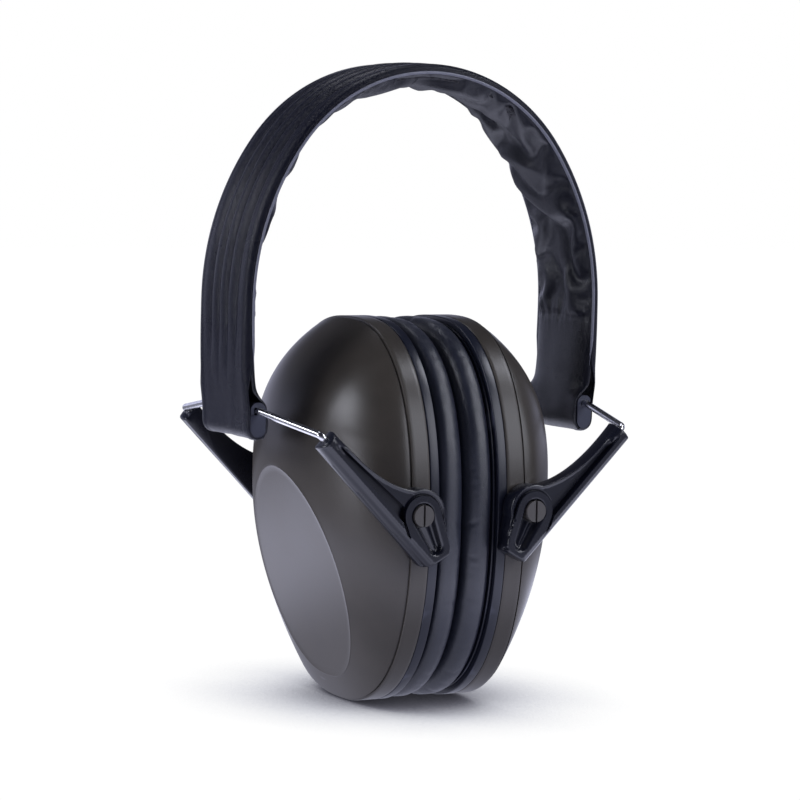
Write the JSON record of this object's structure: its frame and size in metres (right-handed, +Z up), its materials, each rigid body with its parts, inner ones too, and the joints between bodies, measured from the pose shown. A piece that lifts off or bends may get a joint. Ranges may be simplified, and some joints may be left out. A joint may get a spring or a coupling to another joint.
{
  "type": "folding earmuff hearing protector",
  "caption": "Folding passive earmuffs: a padded spring headband with two sealed ear cups on sliding, folding wire arms that block noise.",
  "frame": {"origin": "centre of the footprint, level with the lowest point of the cups", "axes": "+Z up to the crown of the headband, +X to the right cup, -Y to the front"},
  "size_m": [0.114, 0.0944, 0.1792],
  "materials": {
    "olive_plastic": "satin",
    "gloss_black_plastic": "gloss",
    "black_plastic": "satin",
    "cover_leatherette": "embossed satin",
    "lining_leatherette": "soft gathered",
    "cushion_leatherette": "smooth soft",
    "foam": "open-cell foam",
    "wire_steel": "polished",
    "spring_steel": "brushed"
  },
  "bodies": {
    "headband": {"headband_spring": "spring_steel", "headband_cover": "cover_leatherette", "headband_lining": "lining_leatherette", "crown_foam": "foam"},
    "left_end": {"left_end_fitting": "black_plastic", "left_wire_keeper": "black_plastic", "left_end_rivets": "spring_steel"},
    "left_wire": {"left_wire": "wire_steel"},
    "left_yoke": {"left_front_arm": "gloss_black_plastic", "left_rear_arm": "gloss_black_plastic"},
    "left_studs": {"left_front_stud": "olive_plastic", "left_rear_stud": "olive_plastic"},
    "left_cup": {"left_cup_shell": "olive_plastic", "left_seal_plate": "black_plastic", "left_acoustic_foam": "foam", "left_cushion_carrier": "black_plastic", "left_cushion_skin": "cushion_leatherette", "left_cushion_foam": "foam"},
    "right_end": {"right_end_fitting": "black_plastic", "right_wire_keeper": "black_plastic", "right_end_rivets": "spring_steel"},
    "right_wire": {"right_wire": "wire_steel"},
    "right_yoke": {"right_front_arm": "gloss_black_plastic", "right_rear_arm": "gloss_black_plastic"},
    "right_studs": {"right_front_stud": "olive_plastic", "right_rear_stud": "olive_plastic"},
    "right_cup": {"right_cup_shell": "olive_plastic", "right_seal_plate": "black_plastic", "right_acoustic_foam": "foam", "right_cushion_carrier": "black_plastic", "right_cushion_skin": "cushion_leatherette", "right_cushion_foam": "foam"}
  },
  "joints": [
    {"name": "left_band_flex", "type": "hinge", "parent": "headband", "child": "left_end", "pos_m": [0, 0, 0.176], "axis": [0, 1, 0], "range_deg": [0, 32], "deforming": ["headband_spring", "headband_cover", "headband_lining"]},
    {"name": "left_wire_fold", "type": "hinge", "parent": "left_end", "child": "left_wire", "pos_m": [-0.052, 0, 0.0832], "axis": [0, -1, 0], "range_deg": [0, 60]},
    {"name": "left_height_slide", "type": "slide", "parent": "left_wire", "child": "left_yoke", "axis": [0.7009, 0, -0.7133], "range_m": [0, 0.012]},
    {"name": "left_stud_turn", "type": "hinge", "parent": "left_yoke", "child": "left_studs", "pos_m": [-0.0175, 0, 0.057], "axis": [0, -1, 0], "range_deg": [-60, 0]},
    {"name": "left_cup_tilt", "type": "hinge", "parent": "left_studs", "child": "left_cup", "pos_m": [-0.0175, 0, 0.057], "axis": [0, -1, 0], "range_deg": [-6, 10], "deforming": ["left_cushion_skin", "left_cushion_foam"]},
    {"name": "right_band_flex", "type": "hinge", "parent": "headband", "child": "right_end", "pos_m": [0, 0, 0.176], "axis": [0, -1, 0], "range_deg": [0, 32]},
    {"name": "right_wire_fold", "type": "hinge", "parent": "right_end", "child": "right_wire", "pos_m": [0.052, 0, 0.0832], "axis": [0, 1, 0], "range_deg": [0, 60]},
    {"name": "right_height_slide", "type": "slide", "parent": "right_wire", "child": "right_yoke", "axis": [-0.7009, 0, -0.7133], "range_m": [0, 0.012]},
    {"name": "right_stud_turn", "type": "hinge", "parent": "right_yoke", "child": "right_studs", "pos_m": [0.0175, 0, 0.057], "axis": [0, 1, 0], "range_deg": [-60, 0]},
    {"name": "right_cup_tilt", "type": "hinge", "parent": "right_studs", "child": "right_cup", "pos_m": [0.0175, 0, 0.057], "axis": [0, 1, 0], "range_deg": [-6, 10], "deforming": ["right_cushion_skin", "right_cushion_foam"]}
  ],
  "couplings": [
    {"joint": "left_stud_turn", "follows": "left_wire_fold", "ratio": -1},
    {"joint": "right_stud_turn", "follows": "right_wire_fold", "ratio": -1}
  ]
}
